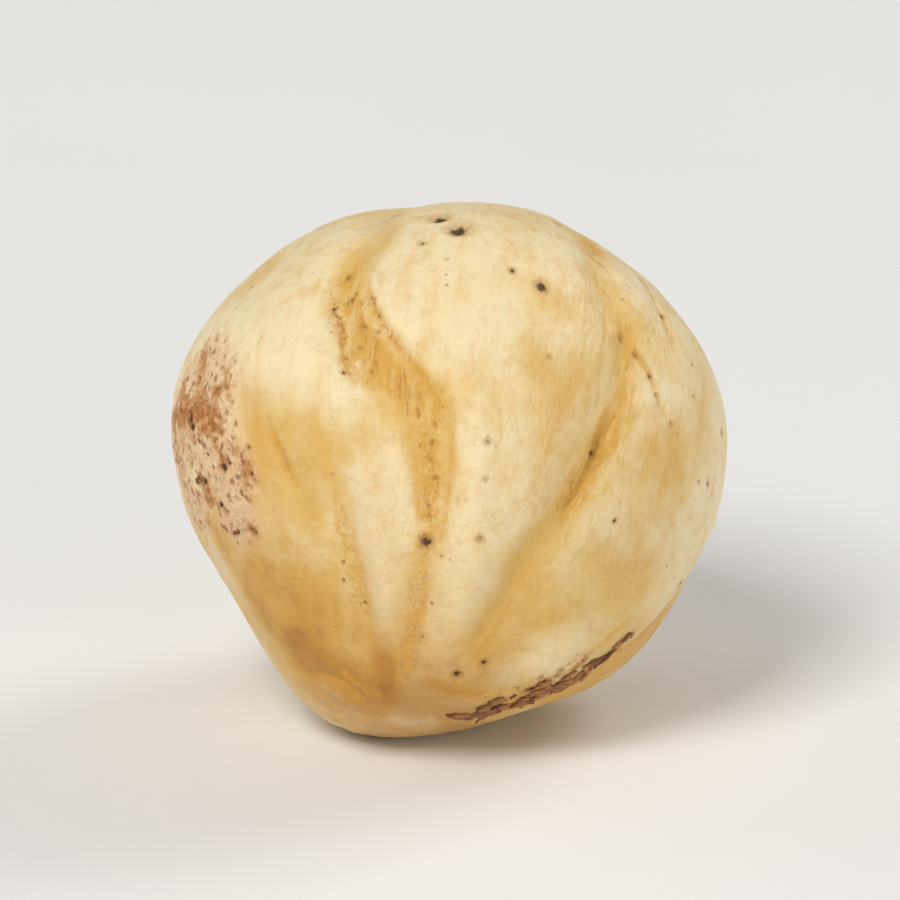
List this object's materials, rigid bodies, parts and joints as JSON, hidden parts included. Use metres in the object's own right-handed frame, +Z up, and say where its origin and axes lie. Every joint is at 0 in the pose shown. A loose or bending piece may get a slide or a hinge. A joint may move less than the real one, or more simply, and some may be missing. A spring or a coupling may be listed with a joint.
{
  "type": "hazelnut kernel",
  "caption": "Shelled, skinned hazelnut: a plump round seed with shallow furrows from foot to pointed crown, at rest on a small flat spot.",
  "frame": {"origin": "on the resting surface, under the middle of the seed's bounding box", "axes": "+Z up from the resting surface, -Y the side with the main furrow, the foot low at the front and the tip high at the back, +X to the right seen from the front"},
  "size_m": [0.0144, 0.0142, 0.0138],
  "materials": {
    "nut_flesh": "satin cream to golden seed flesh, matt in the furrows",
    "nut_skin": "matt red-brown papery skin, left in scraps"
  },
  "bodies": {
    "root": {"kernel": "nut_flesh"}
  },
  "joints": []
}
